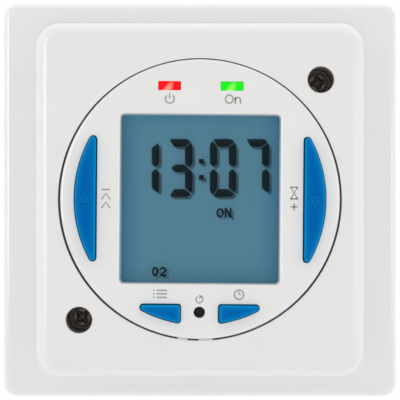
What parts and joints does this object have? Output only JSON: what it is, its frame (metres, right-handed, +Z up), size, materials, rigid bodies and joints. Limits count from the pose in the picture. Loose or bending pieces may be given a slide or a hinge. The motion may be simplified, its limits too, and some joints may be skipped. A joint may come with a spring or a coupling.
{
  "type": "timer light switch",
  "caption": "Square wall-mounted timer light switch: raised cover, round fascia with display window, blue push buttons, indicator lights and a rear housing with wire clamps.",
  "frame": {"origin": "midpoint between the two wall box screw holes, in the plane of the wall", "axes": "+X to the right and +Z up, seen by someone facing the switch; +Y into the wall"},
  "size_m": [0.086, 0.0379, 0.086],
  "materials": {
    "white_plastic": "moulded, semi-gloss",
    "blue_plastic": "moulded, semi-gloss",
    "black_plastic": "moulded, matt",
    "grey_plastic": "moulded, matt",
    "ivory_plastic": "moulded, matt",
    "relay_plastic": "moulded, gloss",
    "red_lens": "cast lens, lit",
    "green_lens": "cast lens, lit",
    "display_glass": "polished",
    "diffuser": "moulded light guide",
    "black_foam": "foam",
    "contact_rubber": "striped silicone",
    "board": "solder mask",
    "chip": "moulded, matt",
    "steel": "zinc plated",
    "black_screw": "blackened",
    "brass": "bright",
    "core_iron": "plated",
    "copper_wire": "enamelled",
    "film_case": "moulded, gloss",
    "can": "sleeved can"
  },
  "bodies": {
    "switch_body": {"back_plate": "white_plastic", "front_cover": "white_plastic", "fascia_disc": "white_plastic", "chassis": "black_plastic", "switch_bodies": "grey_plastic", "power_led": "red_lens", "on_led": "green_lens", "lcd_gasket": "black_foam", "lcd_front_glass": "display_glass", "lcd_rear_glass": "display_glass", "lcd_backlight": "diffuser", "lcd_frame": "black_plastic", "zebra_strips": "contact_rubber", "control_board": "board", "microcontroller": "chip", "battery_cell": "steel", "battery_clip": "steel", "header_socket": "black_plastic", "header_pins": "brass", "board_screws": "steel", "cover_screws": "steel", "module_screws": "black_screw", "threaded_inserts": "brass", "rear_housing": "black_plastic", "housing_screws": "steel", "mains_board": "board", "terminal_block": "grey_plastic", "terminal_contacts": "brass", "relay_base": "black_plastic", "relay_case": "relay_plastic", "relay_yoke": "core_iron", "relay_bobbin": "ivory_plastic", "relay_winding": "copper_wire", "relay_contacts": "brass", "film_capacitor": "film_case", "smoothing_capacitor": "can", "advance_dome": "steel", "boost_dome": "steel", "program_dome": "steel", "clock_dome": "steel", "reset_dome": "steel"},
    "advance_button": {"advance_button": "blue_plastic"},
    "boost_button": {"boost_button": "blue_plastic"},
    "program_button": {"program_button": "blue_plastic"},
    "clock_button": {"clock_button": "blue_plastic"},
    "reset_pin": {"reset_pin": "black_plastic"},
    "advance_plunger": {"advance_plunger": "black_plastic"},
    "boost_plunger": {"boost_plunger": "black_plastic"},
    "program_plunger": {"program_plunger": "black_plastic"},
    "clock_plunger": {"clock_plunger": "black_plastic"},
    "reset_plunger": {"reset_plunger": "black_plastic"},
    "relay_armature": {"relay_armature": "core_iron"},
    "terminal_screw_1": {"terminal_screw_1": "steel"},
    "terminal_screw_2": {"terminal_screw_2": "steel"},
    "terminal_screw_3": {"terminal_screw_3": "steel"},
    "terminal_screw_4": {"terminal_screw_4": "steel"},
    "clamp_cage_1": {"clamp_cage_1": "steel"},
    "clamp_cage_2": {"clamp_cage_2": "steel"},
    "clamp_cage_3": {"clamp_cage_3": "steel"},
    "clamp_cage_4": {"clamp_cage_4": "steel"}
  },
  "joints": [
    {"name": "advance_press", "type": "slide", "parent": "switch_body", "child": "advance_button", "axis": [0, 1, 0], "range_m": [0, 0.0005], "stiffness_N_per_m": 2400, "springref_m": -0.0003},
    {"name": "advance_plunger_travel", "type": "slide", "parent": "switch_body", "child": "advance_plunger", "axis": [0, 1, 0], "range_m": [0, 0.0005], "deforming": ["advance_dome"]},
    {"name": "boost_press", "type": "slide", "parent": "switch_body", "child": "boost_button", "axis": [0, 1, 0], "range_m": [0, 0.0005], "stiffness_N_per_m": 2400, "springref_m": -0.0003},
    {"name": "boost_plunger_travel", "type": "slide", "parent": "switch_body", "child": "boost_plunger", "axis": [0, 1, 0], "range_m": [0, 0.0005], "deforming": ["boost_dome"]},
    {"name": "program_press", "type": "slide", "parent": "switch_body", "child": "program_button", "axis": [0, 1, 0], "range_m": [0, 0.0005], "stiffness_N_per_m": 2400, "springref_m": -0.0003},
    {"name": "program_plunger_travel", "type": "slide", "parent": "switch_body", "child": "program_plunger", "axis": [0, 1, 0], "range_m": [0, 0.0005], "deforming": ["program_dome"]},
    {"name": "clock_press", "type": "slide", "parent": "switch_body", "child": "clock_button", "axis": [0, 1, 0], "range_m": [0, 0.0005], "stiffness_N_per_m": 2400, "springref_m": -0.0003},
    {"name": "clock_plunger_travel", "type": "slide", "parent": "switch_body", "child": "clock_plunger", "axis": [0, 1, 0], "range_m": [0, 0.0005], "deforming": ["clock_dome"]},
    {"name": "reset_press", "type": "slide", "parent": "switch_body", "child": "reset_pin", "axis": [0, 1, 0], "range_m": [0, 0.0005], "stiffness_N_per_m": 2400, "springref_m": -0.0003},
    {"name": "reset_plunger_travel", "type": "slide", "parent": "switch_body", "child": "reset_plunger", "axis": [0, 1, 0], "range_m": [0, 0.0005], "deforming": ["reset_dome"]},
    {"name": "relay_armature_tilt", "type": "hinge", "parent": "switch_body", "child": "relay_armature", "pos_m": [-0.0149, 0.01535, 0.012], "axis": [0, 0, -1], "range_deg": [0, 4.2], "stiffness_Nm_per_rad": 0.05, "springref_deg": -2.86},
    {"name": "terminal_1_turn", "type": "hinge", "parent": "switch_body", "child": "terminal_screw_1", "pos_m": [-0.012, 0.0185, -0.0194], "axis": [0, -1, 0], "range_deg": [0, 2160]},
    {"name": "clamp_1_rise", "type": "slide", "parent": "switch_body", "child": "clamp_cage_1", "axis": [0, 1, 0], "range_m": [0, 0.003]},
    {"name": "terminal_2_turn", "type": "hinge", "parent": "switch_body", "child": "terminal_screw_2", "pos_m": [-0.004, 0.0185, -0.0194], "axis": [0, -1, 0], "range_deg": [0, 2160]},
    {"name": "clamp_2_rise", "type": "slide", "parent": "switch_body", "child": "clamp_cage_2", "axis": [0, 1, 0], "range_m": [0, 0.003]},
    {"name": "terminal_3_turn", "type": "hinge", "parent": "switch_body", "child": "terminal_screw_3", "pos_m": [0.004, 0.0185, -0.0194], "axis": [0, -1, 0], "range_deg": [0, 2160]},
    {"name": "clamp_3_rise", "type": "slide", "parent": "switch_body", "child": "clamp_cage_3", "axis": [0, 1, 0], "range_m": [0, 0.003]},
    {"name": "terminal_4_turn", "type": "hinge", "parent": "switch_body", "child": "terminal_screw_4", "pos_m": [0.012, 0.0185, -0.0194], "axis": [0, -1, 0], "range_deg": [0, 2160]},
    {"name": "clamp_4_rise", "type": "slide", "parent": "switch_body", "child": "clamp_cage_4", "axis": [0, 1, 0], "range_m": [0, 0.003]}
  ],
  "couplings": [
    {"joint": "advance_plunger_travel", "follows": "advance_press", "ratio": 1},
    {"joint": "boost_plunger_travel", "follows": "boost_press", "ratio": 1},
    {"joint": "program_plunger_travel", "follows": "program_press", "ratio": 1},
    {"joint": "clock_plunger_travel", "follows": "clock_press", "ratio": 1},
    {"joint": "reset_plunger_travel", "follows": "reset_press", "ratio": 1},
    {"joint": "terminal_1_turn", "follows": "clamp_1_rise", "rad_per_m": 12566},
    {"joint": "terminal_2_turn", "follows": "clamp_2_rise", "rad_per_m": 12566},
    {"joint": "terminal_3_turn", "follows": "clamp_3_rise", "rad_per_m": 12566},
    {"joint": "terminal_4_turn", "follows": "clamp_4_rise", "rad_per_m": 12566}
  ]
}
